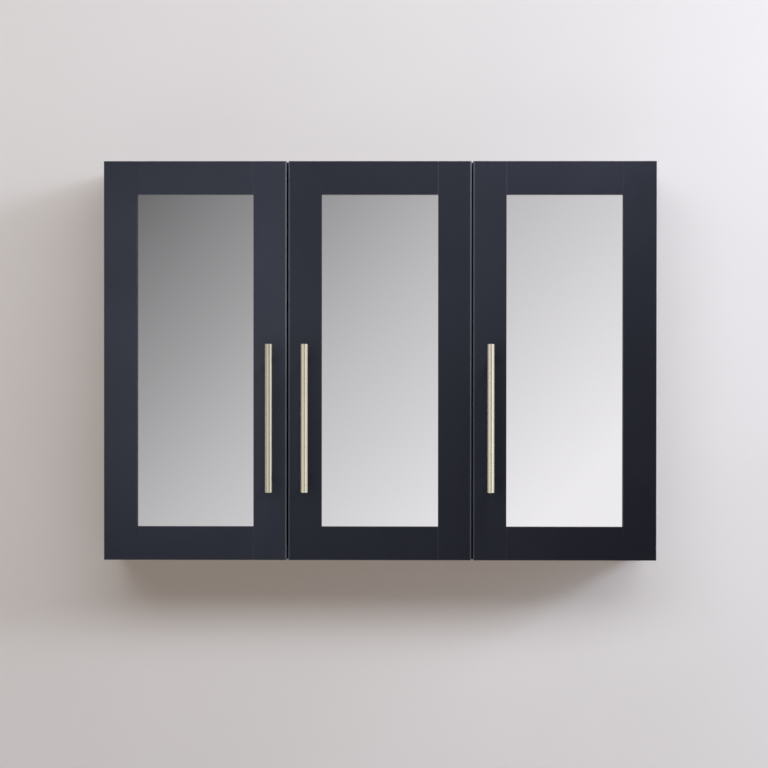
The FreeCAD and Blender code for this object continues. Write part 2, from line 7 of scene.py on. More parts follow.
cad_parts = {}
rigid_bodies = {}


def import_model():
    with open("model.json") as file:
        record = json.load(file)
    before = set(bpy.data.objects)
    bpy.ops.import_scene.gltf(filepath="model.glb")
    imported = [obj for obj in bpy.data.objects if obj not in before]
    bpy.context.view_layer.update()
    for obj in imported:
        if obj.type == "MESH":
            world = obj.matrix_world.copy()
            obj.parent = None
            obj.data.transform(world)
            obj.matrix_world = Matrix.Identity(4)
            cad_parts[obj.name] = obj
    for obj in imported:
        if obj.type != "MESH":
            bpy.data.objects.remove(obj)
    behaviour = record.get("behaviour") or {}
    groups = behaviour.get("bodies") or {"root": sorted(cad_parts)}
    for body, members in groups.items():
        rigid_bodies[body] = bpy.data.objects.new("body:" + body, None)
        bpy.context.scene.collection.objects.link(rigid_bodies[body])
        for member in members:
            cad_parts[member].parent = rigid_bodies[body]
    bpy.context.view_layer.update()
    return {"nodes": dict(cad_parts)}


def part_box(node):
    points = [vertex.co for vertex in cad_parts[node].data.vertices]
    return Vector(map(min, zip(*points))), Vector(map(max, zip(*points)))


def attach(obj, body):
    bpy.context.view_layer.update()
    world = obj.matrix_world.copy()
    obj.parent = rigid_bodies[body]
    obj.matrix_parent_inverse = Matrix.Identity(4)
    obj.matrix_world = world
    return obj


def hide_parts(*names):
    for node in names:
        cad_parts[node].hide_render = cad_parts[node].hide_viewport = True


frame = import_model()
nodes = frame["nodes"]
doorNames = ("left", "middle", "right")
print("frame loaded:", len(nodes), "nodes")


# Shader maths: a wire is one output socket, and sums of wires add Math nodes
class Wire:
    def __init__(self, tree, socket):
        self.tree = tree
        self.socket = socket

    def out(self, name):
        return Wire(self.tree, self.socket.node.outputs[name])

    def maths(self, operation, first, second=0.0):
        return self.tree.node("ShaderNodeMath", {"operation": operation}, {0: first, 1: second})

    def __add__(self, other):
        return self.maths("ADD", self, other)

    __radd__ = __add__

    def __sub__(self, other):
        return self.maths("SUBTRACT", self, other)

    def __rsub__(self, other):
        return self.maths("SUBTRACT", other, self)

    def __mul__(self, other):
        return self.maths("MULTIPLY", self, other)

    __rmul__ = __mul__

    def __truediv__(self, other):
        return self.maths("DIVIDE", self, other)

    def __rtruediv__(self, other):
        return self.maths("DIVIDE", other, self)

    def __gt__(self, other):
        return self.maths("GREATER_THAN", self, other)

    def __lt__(self, other):
        return self.maths("LESS_THAN", self, other)

    def __abs__(self):
        return self.maths("ABSOLUTE", self)

    def least(self, other):
        return self.maths("MINIMUM", self, other)

    def most(self, other):
        return self.maths("MAXIMUM", self, other)

    def sine(self):
        return self.maths("SINE", self)

    def whole(self):
        return self.maths("FLOOR", self)

    def ramp(self, low, high, start=0.0, end=1.0):
        # smooth step from start to end while the wire goes from low to high
        sockets = {0: self, 1: low, 2: high, 3: start, 4: end}
        return self.tree.node("ShaderNodeMapRange", {"interpolation_type": "SMOOTHSTEP"}, sockets)


class NodeTree:
    def __init__(self, tree):
        self.tree = tree
        self.tree.nodes.clear()

    def node(self, kind, settings=None, sockets=None, output=0):
        made = self.tree.nodes.new(kind)
        for key, value in (settings or {}).items():
            setattr(made, key, value)
        for key, value in (sockets or {}).items():
            if isinstance(value, Wire):
                self.tree.links.new(value.socket, made.inputs[key])
            else:
                made.inputs[key].default_value = value
        return Wire(self, made.outputs[output] if made.outputs else None)

    def place(self):
        # object coordinates are the cabinet's own, in metres
        return self.node("ShaderNodeTexCoord", output="Object")

    def axes(self, vector):
        split = self.node("ShaderNodeSeparateXYZ", None, {0: vector})
        return split.out("X"), split.out("Y"), split.out("Z")

    def facing(self):
        # how far the surface faces along each of the three axes
        return self.axes(self.node("ShaderNodeNewGeometry", output="Normal"))

    def stretch(self, vector, scale):
        return self.node("ShaderNodeVectorMath", {"operation": "MULTIPLY"}, {0: vector, 1: scale})

    def tone(self, colour, share):
        grey = self.node("ShaderNodeCombineXYZ", None, {0: share, 1: share, 2: share})
        return self.stretch(colour, grey)

    def noise(self, vector, scale, detail, roughness):
        sockets = {"Vector": vector, "Scale": scale, "Detail": detail, "Roughness": roughness}
        return self.node("ShaderNodeTexNoise", None, sockets)

    def patches(self, vector, noise, reach):
        # the part of a noise that lies within reach, spread out from 0 to 1
        return self.noise(vector, *noise).ramp(*reach)

    def cells(self, vector, scale):
        return self.node("ShaderNodeTexVoronoi", None, {"Vector": vector, "Scale": scale})

    def blend(self, factor, first, second):
        sockets = {0: factor, 6: first, 7: second}
        return self.node("ShaderNodeMix", {"data_type": "RGBA"}, sockets, output=2)

    def bump(self, height, strength, distance):
        sockets = {"Height": height, "Strength": strength, "Distance": distance}
        return self.node("ShaderNodeBump", None, sockets)

    def mixed(self, factor, first, second):
        return self.node("ShaderNodeMixShader", None, {0: factor, 1: first, 2: second})

    def principled(self, sockets):
        shader = self.node("ShaderNodeBsdfPrincipled", None, sockets)
        self.node("ShaderNodeOutputMaterial", None, {"Surface": shader})


def newMaterial(name):
    material = bpy.data.materials.new(name)
    material.use_nodes = True
    return material, NodeTree(material.node_tree)


def rgb(red, green, blue):
    return (red, green, blue, 1.0)


def dress(material, *names):
    for name in names:
        for slot in nodes[name].material_slots:
            slot.material = material


def ofEachDoor(*pieces):
    return [door + "_" + piece for door in doorNames for piece in pieces]


# Sizes taken from the frame
def doorBox(door):
    stileLow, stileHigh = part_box(door + "_hinge_stile")
    gripLow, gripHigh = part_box(door + "_handle_stile")
    low = Vector(map(min, stileLow, gripLow))
    high = Vector(map(max, stileHigh, gripHigh))
    return low, high


leftDoorLow, leftDoorHigh = doorBox("left")
doorPitch = doorBox("middle")[0].x - leftDoorLow.x
doorHalfWidth = (leftDoorHigh.x - leftDoorLow.x) / 2
doorHalfHeight = leftDoorHigh.z
doorFace = leftDoorLow.y
outerEdge = -leftDoorLow.x
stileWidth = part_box("left_hinge_stile")[1].x - leftDoorLow.x
openingHalfWidth = doorHalfWidth - stileWidth
openingHalfHeight = doorHalfHeight - stileWidth


def doorSteps(x):
    # how many doors, and how many whole doors, lie to the left of x
    steps = (x - leftDoorLow.x) / doorPitch
    return steps, steps.whole()


def byDoor(number, values):
    first, second, third = values
    return first + (number > 0.5) * (second - first) + (number > 1.5) * (third - second)


# Camera
cameraSettings = {
    "place": (0.0366, -3.2261, -0.0172),
    "turn": -0.0097,                      # to the right of +Y, in radians
    "tilt": -0.0067,                      # above the horizon
    "roll": 0.0007,
    "lens": 88.57,
    "sensor": 36.0,
    "clip": (0.05, 100.0),
}


def makeCamera(settings):
    camera = bpy.data.cameras.new("camera")
    camera.lens = settings["lens"]
    camera.sensor_width = settings["sensor"]
    camera.clip_start, camera.clip_end = settings["clip"]
    holder = bpy.data.objects.new("camera", camera)
    bpy.context.scene.collection.objects.link(holder)
    turn = settings["turn"]
    forward = Vector((math.sin(turn), math.cos(turn), math.tan(settings["tilt"])))
    aim = forward.to_track_quat("-Z", "Y").to_matrix().to_4x4()
    spin = Matrix.Rotation(settings["roll"], 4, "Z")
    holder.matrix_world = Matrix.Translation(settings["place"]) @ aim @ spin
    bpy.context.scene.camera = holder


makeCamera(cameraSettings)
print("camera placed")


# In each finish below, a noise is given by its scale, detail and roughness

# Lacquer of the doors: satin dark blue, sprayed, with paler edges that are partly worn and partly
# painted highlight, painted glints where doors meet, joints that show faintly, and each door
# painted lighter or darker as light falls on it
lacquerSettings = {
    "colour": rgb(0.0199, 0.0210, 0.0302),
    "cloudColour": rgb(0.0222, 0.0235, 0.0338),
    # pale lines: worn arrises with painted highlight, painted glints where doors meet, and the
    # joints
    "paleLineColour": rgb(0.110, 0.116, 0.138),
    "doorLightTones": (1.19, 0.855, 0.975),    # painted light and shade: the left door lighter and the middle one darker, as light falls
    "clouds": (5.0, 3.0, 0.55),
    "cloudReach": (0.35, 0.65),
    "cloudRoughness": 0.04,
    "grain": (260.0, 4.0, 0.7),
    "grainReach": (0.25, 0.65),
    "edgeReach": 0.0016,                  # from the outer arris
    "edgeShare": 0.5,
    "paintedGlintReach": (0.0026, 0.0012),         # from the edge where two doors meet
    "paintedGlintShares": (0.46, 0.84),            # painted highlight on the left and on the right edge of a door
    "paintedGlintLeast": 0.7,
    "paintedGlintGrain": 0.6,
    "endMargin": 0.01,                    # at the ends of the row no doors meet
    "jointHalf": 0.0012,
    "leftJoints": (0.06, 0.08, 0.26),     # how far the joints of each door show as paler lines
    "rightJoints": (0.20, 0.31, 0.09),
    "frontDepth": 0.003,                  # joints show only on the front
    "smudges": (24.0, 4.0, 0.6),
    "smudgeReach": (0.45, 0.75),
    "smudgeRoughness": 0.05,
    "roughness": 0.44,
    "sheen": 0.08,
    "peel": (420.0, 2.0, 0.5),
    "peelStrength": 0.35,
    "peelDepth": 0.00004,
    "speckScale": 190.0,
    "speckReach": (0.10, 0.04),
    "speckShare": 0.4,
}


def doorLacquer(settings):
    material, tree = newMaterial("door lacquer")
    place = tree.place()
    x, y, z = tree.axes(place)
    # distance from the middle of the door that the point is on
    steps, number = doorSteps(x)
    sideways = (steps - number) * doorPitch - doorHalfWidth
    across = abs(sideways)
    upward = abs(z)
    onRight = sideways > 0.0
    onFront = (doorFace + settings["frontDepth"] - y) > 0.0
    grain = tree.noise(place, *settings["grain"])
    # the outer arris is where both the side and the front face are near
    edge = (doorHalfWidth - across).least(doorHalfHeight - upward)
    arris = edge.most(y - doorFace).ramp(settings["edgeReach"], 0.0)
    # paler outer arris: partly wear, partly painted highlight, broken up by the grain
    wornAndHighlit = arris * grain.ramp(*settings["grainReach"])
    # where two doors meet, a painted highlight makes the edges paler, more on each door's right
    # edge, as if lit from the right
    side = (doorHalfWidth - across).most(y - doorFace)
    meeting = side.ramp(*settings["paintedGlintReach"]) * (abs(x) < outerEdge - settings["endMargin"])
    leftPaintedGlint, rightPaintedGlint = settings["paintedGlintShares"]
    paintedGlint = meeting * (settings["paintedGlintLeast"] + grain * settings["paintedGlintGrain"])
    paintedGlint = paintedGlint * (leftPaintedGlint + onRight * (rightPaintedGlint - leftPaintedGlint))
    # joints of stiles and rails, above and below the mirror
    leftJoint = byDoor(number, settings["leftJoints"])
    rightJoint = byDoor(number, settings["rightJoints"])
    jointed = abs(across - openingHalfWidth).ramp(settings["jointHalf"], 0.0)
    jointed = jointed * (upward > openingHalfHeight) * onFront
    jointed = jointed * (leftJoint + onRight * (rightJoint - leftJoint))
    clouds = tree.patches(place, settings["clouds"], settings["cloudReach"])
    colour = tree.blend(clouds, settings["colour"], settings["cloudColour"])
    # painted light and shade: each door's colour is raised or lowered as light falls on it
    colour = tree.tone(colour, byDoor(number, settings["doorLightTones"]))
    # pale lines over the colour: arrises with painted highlight, painted glints where doors meet,
    # joints
    for share in (wornAndHighlit * settings["edgeShare"], paintedGlint, jointed):
        colour = tree.blend(share, colour, settings["paleLineColour"])
    smudges = tree.patches(place, settings["smudges"], settings["smudgeReach"])
    roughness = settings["roughness"] + clouds * settings["cloudRoughness"]
    peel = tree.noise(place, *settings["peel"])
    specks = tree.cells(place, settings["speckScale"]).ramp(*settings["speckReach"])
    height = peel + specks * settings["speckShare"]
    tree.principled({
        "Base Color": colour,
        "Roughness": roughness + smudges * settings["smudgeRoughness"],
        "Normal": tree.bump(height, settings["peelStrength"], settings["peelDepth"]),
        "Specular IOR Level": settings["sheen"],
    })
    return material


dress(doorLacquer(lacquerSettings), *ofEachDoor("hinge_stile", "handle_stile", "rails", "beads"))
print("doors lacquered")


# Mirrors: silvered glass under a faint film
mirrorSettings = {
    "silver": rgb(0.90, 0.905, 0.90),
    "filmed": rgb(0.885, 0.89, 0.885),
    "filmShare": 0.35,
    "filmRoughness": 0.012,
    "haze": (7.0, 4.0, 0.6),
    "hazeReach": (0.45, 0.8),
    "wipes": (3.0, 3.0, 0.55),
    "wipeStretch": (3.0, 1.0, 22.0),
    "wipeReach": (0.5, 0.8),
    "roughness": 0.004,
}


def mirrorGlass(settings):
    material, tree = newMaterial("mirror glass")
    place = tree.place()
    haze = tree.patches(place, settings["haze"], settings["hazeReach"])
    wiped = tree.stretch(place, settings["wipeStretch"])
    wipes = tree.patches(wiped, settings["wipes"], settings["wipeReach"])
    film = haze * 0.5 + wipes * 0.5
    share = film * settings["filmShare"]
    tree.principled({
        "Base Color": tree.blend(share, settings["silver"], settings["filmed"]),
        "Metallic": 1.0,
        "Roughness": film * settings["filmRoughness"] + settings["roughness"],
    })
    return material


dress(mirrorGlass(mirrorSettings), *ofEachDoor("mirror"))
print("mirrors silvered")


# Bar handles: pale brass, brushed along the bar, each handle painted darker or lighter as light
# falls on it
brassSettings = {
    "pale": rgb(0.835, 0.793, 0.560),
    "deep": rgb(0.715, 0.672, 0.455),
    "barShadeTones": (0.86, 1.0, 1.05),        # painted shade and light of the left, middle and right handle: darker on the left, lighter on the right
    "lines": (2600.0, 3.0, 0.65),
    "lineStretch": (1.0, 1.0, 0.0003),
    "lineShare": 0.3,
    "lineRoughness": 0.06,
    "lineStrength": 0.05,
    "lineDepth": 0.00002,
    "patina": (30.0, 4.0, 0.6),
    "patinaReach": (0.4, 0.7),
    "patinaShare": 0.2,
    "patinaRoughness": 0.03,
    "roughness": 0.22,
}


def brushedBrass(settings):
    material, tree = newMaterial("brushed brass")
    place = tree.place()
    number = doorSteps(tree.axes(place)[0])[1]
    lines = tree.noise(tree.stretch(place, settings["lineStretch"]), *settings["lines"])
    patina = tree.patches(place, settings["patina"], settings["patinaReach"])
    share = patina * settings["patinaShare"] + lines * settings["lineShare"]
    colour = tree.blend(share, settings["pale"], settings["deep"])
    roughness = settings["roughness"] + lines * settings["lineRoughness"]
    # each handle's colour carries painted shade and light
    tree.principled({
        "Base Color": tree.tone(colour, byDoor(number, settings["barShadeTones"])),
        "Metallic": 1.0,
        "Roughness": roughness + patina * settings["patinaRoughness"],
        "Normal": tree.bump(lines, settings["lineStrength"], settings["lineDepth"]),
    })
    return material


dress(brushedBrass(brassSettings), *ofEachDoor("handle_bar", "handle_posts"))
print("handles brushed")


# Carcass boards: the same blue in a harder finish, with raw rear edges
boardSettings = {
    "colour": rgb(0.0180, 0.0200, 0.0300),
    "cloudColour": rgb(0.0205, 0.0226, 0.0334),
    "clouds": (6.0, 3.0, 0.55),
    "cloudReach": (0.35, 0.65),
    "cloudRoughness": 0.05,
    "raw": rgb(0.36, 0.25, 0.155),
    "rawDark": rgb(0.24, 0.155, 0.09),
    "rawDepth": 0.002,                    # from the wall face
    "rawRoughness": 0.4,
    "fibres": (900.0, 4.0, 0.7),
    "fibreReach": (0.3, 0.7),
    "peel": (520.0, 2.0, 0.5),
    "peelStrength": 0.3,
    "peelDepth": 0.00004,
    "roughness": 0.46,
    "sheen": 0.2,
}


def carcassBoard(settings):
    material, tree = newMaterial("carcass board")
    place = tree.place()
    rear = (tree.facing()[1] > 0.5) * (tree.axes(place)[1] > -settings["rawDepth"])
    clouds = tree.patches(place, settings["clouds"], settings["cloudReach"])
    colour = tree.blend(clouds, settings["colour"], settings["cloudColour"])
    fibres = tree.noise(place, *settings["fibres"])
    fibreTone = fibres.ramp(*settings["fibreReach"])
    raw = tree.blend(fibreTone, settings["rawDark"], settings["raw"])
    peel = tree.noise(place, *settings["peel"])
    height = peel + fibres * rear
    roughness = settings["roughness"] + clouds * settings["cloudRoughness"]
    tree.principled({
        "Base Color": tree.blend(rear, colour, raw),
        "Roughness": roughness + rear * settings["rawRoughness"],
        "Normal": tree.bump(height, settings["peelStrength"], settings["peelDepth"]),
        "Specular IOR Level": settings["sheen"],
    })
    return material


boards = (
    "left_side_panel", "right_side_panel", "top_panel", "bottom_panel", "partition_panel",
    "wide_shelves", "narrow_shelves",
)
dress(carcassBoard(boardSettings), *boards)
print("carcass painted")


# Hardboard of the back panel and of the boards behind the mirrors, blue on the front
hardboardSettings = {
    "colour": rgb(0.27, 0.17, 0.095),
    "dark": rgb(0.17, 0.10, 0.055),
    "face": rgb(0.0150, 0.0190, 0.0310),
    "fibres": (700.0, 5.0, 0.7),
    "fibreReach": (0.3, 0.7),
    "meshPitch": 0.0022,                  # of the pressed mesh on the rear
    "meshShare": 0.5,
    "roughness": 0.78,
    "faceRoughness": 0.44,
    "strength": 0.4,
    "depth": 0.0001,
}


def hardboard(settings):
    material, tree = newMaterial("hardboard")
    place = tree.place()
    x, y, z = tree.axes(place)
    front = tree.facing()[1] < -0.5
    turns = 2 * math.pi / settings["meshPitch"]
    mesh = (x * turns).sine() * (z * turns).sine()
    fibres = tree.noise(place, *settings["fibres"])
    fibreTone = fibres.ramp(*settings["fibreReach"])
    colour = tree.blend(fibreTone, settings["dark"], settings["colour"])
    height = fibres + mesh * (1 - front) * settings["meshShare"]
    smoother = settings["roughness"] - settings["faceRoughness"]
    tree.principled({
        "Base Color": tree.blend(front, colour, settings["face"]),
        "Roughness": settings["roughness"] - front * smoother,
        "Normal": tree.bump(height, settings["strength"], settings["depth"]),
    })
    return material


dress(hardboard(hardboardSettings), "back_panel", *ofEachDoor("backing_board"))
print("backs fitted")


# Raw fibreboard of the wall rails, sanded lengthwise
railSettings = {
    "light": rgb(0.44, 0.32, 0.205),
    "dark": rgb(0.30, 0.205, 0.125),
    "fibres": (800.0, 5.0, 0.7),
    "fibreStretch": (0.6, 1.0, 1.0),
    "fibreReach": (0.3, 0.7),
    "fibreShare": 0.7,
    "sanding": (60.0, 4.0, 0.55),
    "sandStretch": (0.2, 1.0, 6.0),
    "sandReach": (0.35, 0.65),
    "sandShare": 0.3,
    "roughness": 0.75,
    "toneRoughness": 0.1,
    "strength": 0.4,
    "depth": 0.00008,
}


def rawBoard(settings):
    material, tree = newMaterial("raw board")
    place = tree.place()
    fibres = tree.noise(tree.stretch(place, settings["fibreStretch"]), *settings["fibres"])
    fibreTone = fibres.ramp(*settings["fibreReach"])
    sanded = tree.stretch(place, settings["sandStretch"])
    sandTone = tree.patches(sanded, settings["sanding"], settings["sandReach"])
    tone = fibreTone * settings["fibreShare"] + sandTone * settings["sandShare"]
    tree.principled({
        "Base Color": tree.blend(tone, settings["dark"], settings["light"]),
        "Roughness": settings["roughness"] + tone * settings["toneRoughness"],
        "Normal": tree.bump(fibres, settings["strength"], settings["depth"]),
    })
    return material


dress(rawBoard(railSettings), "wall_rails")
print("wall rails sanded")


# Beech dowels
beechSettings = {
    "light": rgb(0.58, 0.42, 0.27),
    "dark": rgb(0.42, 0.28, 0.16),
    "rays": (350.0, 4.0, 0.6),
    "rayStretch": (0.3, 4.0, 4.0),
    "rayReach": (0.4, 0.6),
    "rayRoughness": 0.1,
    "roughness": 0.6,
}


def beech(settings):
    material, tree = newMaterial("beech")
    lengthwise = tree.stretch(tree.place(), settings["rayStretch"])
    rays = tree.patches(lengthwise, settings["rays"], settings["rayReach"])
    tree.principled({
        "Base Color": tree.blend(rays, settings["light"], settings["dark"]),
        "Roughness": settings["roughness"] + rays * settings["rayRoughness"],
    })
    return material


dress(beech(beechSettings), "dowels")
print("dowels turned")


# Plated steel: nickel on the hinges, zinc on pins and screws
platedSettings = {
    "nickel": {
        "colour": rgb(0.60, 0.585, 0.55),
        "stain": rgb(0.46, 0.445, 0.41),
        "roughness": 0.27,
    },
    "zinc": {
        "colour": rgb(0.62, 0.63, 0.64),
        "stain": rgb(0.50, 0.49, 0.44),
        "roughness": 0.33,
    },
    "clouds": (90.0, 4.0, 0.6),
    "cloudReach": (0.4, 0.7),
    "cloudShare": 0.6,
    "cloudRoughness": 0.1,
    "rolling": (1800.0, 3.0, 0.6),
    "rollStretch": (1.0, 0.06, 1.0),
    "rollShare": 0.2,
    "rollRoughness": 0.08,
    "rollStrength": 0.2,
    "rollDepth": 0.00003,
}


def platedSteel(metal, settings):
    material, tree = newMaterial(metal + " plate")
    plate = settings[metal]
    place = tree.place()
    clouds = tree.patches(place, settings["clouds"], settings["cloudReach"])
    rolled = tree.noise(tree.stretch(place, settings["rollStretch"]), *settings["rolling"])
    share = clouds * settings["cloudShare"] + rolled * settings["rollShare"]
    roughness = plate["roughness"] + clouds * settings["cloudRoughness"]
    tree.principled({
        "Base Color": tree.blend(share, plate["colour"], plate["stain"]),
        "Metallic": 1.0,
        "Roughness": roughness + rolled * settings["rollRoughness"],
        "Normal": tree.bump(rolled, settings["rollStrength"], settings["rollDepth"]),
    })
    return material


nickel = platedSteel("nickel", platedSettings)
zinc = platedSteel("zinc", platedSettings)
dress(nickel, "hinge_plates", "hinge_arms", *ofEachDoor("hinge_cups", "inner_links", "outer_links"))
dress(zinc, "shelf_pins", "arm_pins", "hinge_screws")
dress(zinc, *ofEachDoor("handle_screws", "cup_pins", "cup_screws"))
print("fittings plated")


# Screws with domed heads and cross recesses, each in the place of a plain one
screwSettings = {
    "sides": 32,
    "domeSteps": 5,
    "straight": 0.35,                     # of the head's height, below the dome
    "crown": 0.74,                        # of the head's radius, where the dome ends
    "tip": 0.5,                           # of the shank's radius
    "recessReach": 0.60,
    "recessWidth": 0.13,
    "recessDepth": 0.72,                  # of the head's height
    "recessFloor": 0.62,                  # of the recess at its mouth
    "turn": 0.7,                          # from one screw to the next, in radians
    "sharpAngle": 40,                     # in degrees
    "weld": 1e-6,                         # points as close as this are one
    "rim": 0.95,                          # of the head's radius, beyond which a point is on its rim
    "level": 1e-5,                        # points within this of the tip are on it
}


def islandsOf(node, settings):
    # points of each separate solid of a node
    shape = bmesh.new()
    shape.from_mesh(node.data)
    bmesh.ops.remove_doubles(shape, verts=shape.verts, dist=settings["weld"])
    seen = set()
    islands = []
    for start in shape.verts:
        if start in seen:
            continue
        seen.add(start)
        island = [start]
        for point in island:
            near = [edge.other_vert(point) for edge in point.link_edges]
            fresh = [other for other in near if other not in seen]
            seen.update(fresh)
            island.extend(fresh)
        islands.append([node.matrix_world @ point.co for point in island])
    shape.free()
    return islands


def screwSizes(points, settings):
    # axis, lengths and radii of a plain screw, from the points of its solid
    low = Vector([min(values) for values in zip(*points)])
    high = Vector([max(values) for values in zip(*points)])
    size = high - low
    along = max(range(3), key=lambda index: size[index])
    middle = (low + high) / 2

    def reach(point):
        offset = point - middle
        offset[along] = 0.0
        return offset.length

    headRadius = max(map(reach, points))
    rim = settings["rim"] * headRadius
    headLevels = [point[along] for point in points if reach(point) > rim]
    forward = 1.0 if max(headLevels) > middle[along] else -1.0
    tip = low[along] if forward > 0 else high[along]
    tipPoints = [point for point in points if abs(point[along] - tip) < settings["level"]]
    axis = Vector((0.0, 0.0, 0.0))
    axis[along] = forward
    foot = middle.copy()
    foot[along] = tip
    return {
        "foot": foot,
        "axis": axis,
        "length": size[along],
        "head": headRadius,
        "headHeight": max(headLevels) - min(headLevels),
        "shank": max(map(reach, tipPoints)),
    }


def crossOutline(reach, width):
    quarter = [(reach, -width), (reach, width), (width, width)]
    corners = []
    for cosine, sine in ((1, 0), (0, 1), (-1, 0), (0, -1)):
        corners += [(x * cosine - y * sine, x * sine + y * cosine) for x, y in quarter]
    return corners


def joinRings(shape, lower, upper):
    count = len(lower)
    for index in range(count):
        after = (index + 1) % count
        shape.faces.new((lower[index], lower[after], upper[after], upper[index]))


def addScrew(shape, sizes, turn, settings):
    upright = sizes["axis"].to_track_quat("Z", "Y").to_matrix().to_4x4()
    spin = Matrix.Rotation(turn, 4, "Z")
    stand = Matrix.Translation(sizes["foot"]) @ upright @ spin
    head, shank, top = sizes["head"], sizes["shank"], sizes["length"]
    seat = top - sizes["headHeight"]
    rise = sizes["headHeight"] * settings["straight"]
    crown = settings["crown"] * head

    def ring(outline, level):
        return [shape.verts.new(stand @ Vector((x, y, level))) for x, y in outline]

    def circle(radius):
        sides = settings["sides"]
        angles = [2 * math.pi * index / sides for index in range(sides)]
        return [(radius * math.cos(angle), radius * math.sin(angle)) for angle in angles]

    profile = [(shank * settings["tip"], 0.0), (shank, shank), (shank, seat), (head, seat)]
    for step in range(settings["domeSteps"] + 1):
        angle = 0.5 * math.pi * step / settings["domeSteps"]
        radius = crown + (head - crown) * math.cos(angle)
        profile.append((radius, seat + rise + (top - seat - rise) * math.sin(angle)))
    rings = [ring(circle(radius), level) for radius, level in profile]
    for lower, upper in zip(rings, rings[1:]):
        joinRings(shape, lower, upper)
    shape.faces.new(rings[0])
    mouth = crossOutline(settings["recessReach"] * head, settings["recessWidth"] * head)
    floor = [(x * settings["recessFloor"], y * settings["recessFloor"]) for x, y in mouth]
    mouthRing = ring(mouth, top)
    floorRing = ring(floor, top - settings["recessDepth"] * sizes["headHeight"])
    joinRings(shape, mouthRing, floorRing)
    shape.faces.new(floorRing)
    rims = []
    for loop in (rings[-1], mouthRing):
        rims += [shape.edges.get((loop[index - 1], loop[index])) for index in range(len(loop))]
    bmesh.ops.triangle_fill(shape, use_beauty=True, use_dissolve=False, edges=rims)


def crossScrews(nodeName, body, settings):
    shape = bmesh.new()
    for index, points in enumerate(islandsOf(nodes[nodeName], settings)):
        addScrew(shape, screwSizes(points, settings), settings["turn"] * index, settings)
    bmesh.ops.recalc_face_normals(shape, faces=shape.faces)
    for face in shape.faces:
        face.smooth = True
    mesh = bpy.data.meshes.new(nodeName + "_cross")
    shape.to_mesh(mesh)
    shape.free()
    mesh.set_sharp_from_angle(angle=math.radians(settings["sharpAngle"]))
    mesh.materials.append(zinc)
    piece = bpy.data.objects.new(nodeName + "_cross", mesh)
    bpy.context.scene.collection.objects.link(piece)
    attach(piece, body)
    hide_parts(nodeName)


crossScrews("hinge_screws", "carcass", screwSettings)
for door in doorNames:
    crossScrews(door + "_cup_screws", door + "_door", screwSettings)
    crossScrews(door + "_handle_screws", door + "_door", screwSettings)
print("screws driven")


# Bumpers
bumperSettings = {
    "colour": rgb(0.52, 0.53, 0.53),
    "dustColour": rgb(0.40, 0.39, 0.37),
    "dust": (400.0, 3.0, 0.55),
    "dustReach": (0.4, 0.7),
    "dustRoughness": 0.2,
    "roughness": 0.45,
}


def bumperRubber(settings):
    material, tree = newMaterial("bumper rubber")
    dust = tree.patches(tree.place(), settings["dust"], settings["dustReach"])
    tree.principled({
        "Base Color": tree.blend(dust, settings["colour"], settings["dustColour"]),
        "Roughness": settings["roughness"] + dust * settings["dustRoughness"],
    })
    return material


dress(bumperRubber(bumperSettings), *ofEachDoor("bumpers"))
print("bumpers stuck on")


# Stage: a pale wall just behind the cabinet and a pale floor below, both open from their far sides
stageSettings = {
    "wallGap": 0.003,
    "halfWidth": 5.0,
    "wallTop": 2.4,
    "floorLevel": -1.25,
    "floorFront": -5.5,
    "backdropColour": rgb(0.80, 0.785, 0.78),
    "mottle": (1.6, 4.0, 0.5),
    "mottleReach": (0.35, 0.65),
    "wall": {
        "light": rgb(0.738, 0.726, 0.726),
        "shade": rgb(0.710, 0.698, 0.697),
        "flatColour": rgb(0.91, 0.715, 0.56),
        "flatShare": 0.2,                 # part of the tone that no shadow takes away
        "reach": (0.75, 1.7),             # from the middle, where it runs out into the backdrop
    },
    "floor": {
        "light": rgb(0.30, 0.29, 0.285),
        "shade": rgb(0.30, 0.29, 0.285),
        "flatColour": rgb(0.80, 0.785, 0.78),
        "flatShare": 0.92,
        "reach": (2.0, 5.0),
    },
}


def plaster(name, settings):
    material, tree = newMaterial(name + " plaster")
    finish = settings[name]
    place = tree.place()
    x, y, z = tree.axes(place)
    far = abs(x).most(abs(z)).ramp(*finish["reach"])
    mottle = tree.patches(place, settings["mottle"], settings["mottleReach"])
    colour = tree.blend(mottle, finish["light"], finish["shade"])
    path = tree.node("ShaderNodeLightPath")
    seen = path.out("Is Camera Ray").most(path.out("Is Glossy Ray"))
    seen = seen.most(path.out("Is Transmission Ray"))
    behind = tree.node("ShaderNodeNewGeometry", output="Backfacing")
    mattSockets = {"Base Color": colour, "Roughness": 1.0, "Specular IOR Level": 0.0}
    matt = tree.node("ShaderNodeBsdfPrincipled", None, mattSockets)
    flat = tree.node("ShaderNodeEmission", None, {"Color": finish["flatColour"]})
    distant = tree.node("ShaderNodeEmission", None, {"Color": settings["backdropColour"]})
    clear = tree.node("ShaderNodeBsdfTransparent")
    shader = tree.mixed(seen * finish["flatShare"], matt, flat)
    shader = tree.mixed(seen * far, shader, distant)
    shader = tree.mixed(behind, shader, clear)
    tree.node("ShaderNodeOutputMaterial", None, {"Surface": shader})
    return material


def stageSheet(name, corners, settings):
    mesh = bpy.data.meshes.new(name)
    mesh.from_pydata(corners, [], [tuple(range(len(corners)))])
    mesh.materials.append(plaster(name, settings))
    sheet = bpy.data.objects.new(name, mesh)
    bpy.context.scene.collection.objects.link(sheet)
    return sheet


def makeStage(settings):
    side, back = settings["halfWidth"], settings["wallGap"]
    low, high = settings["floorLevel"], settings["wallTop"]
    near = settings["floorFront"]
    wallCorners = [(-side, back, low), (side, back, low), (side, back, high), (-side, back, high)]
    floorCorners = [(-side, near, low), (side, near, low), (side, -near, low), (-side, -near, low)]
    wall = stageSheet("wall", wallCorners, settings)
    floor = stageSheet("floor", floorCorners, settings)
    wall.visible_shadow = False
    return [wall, floor]


stagePieces = makeStage(stageSettings)
print("stage set")


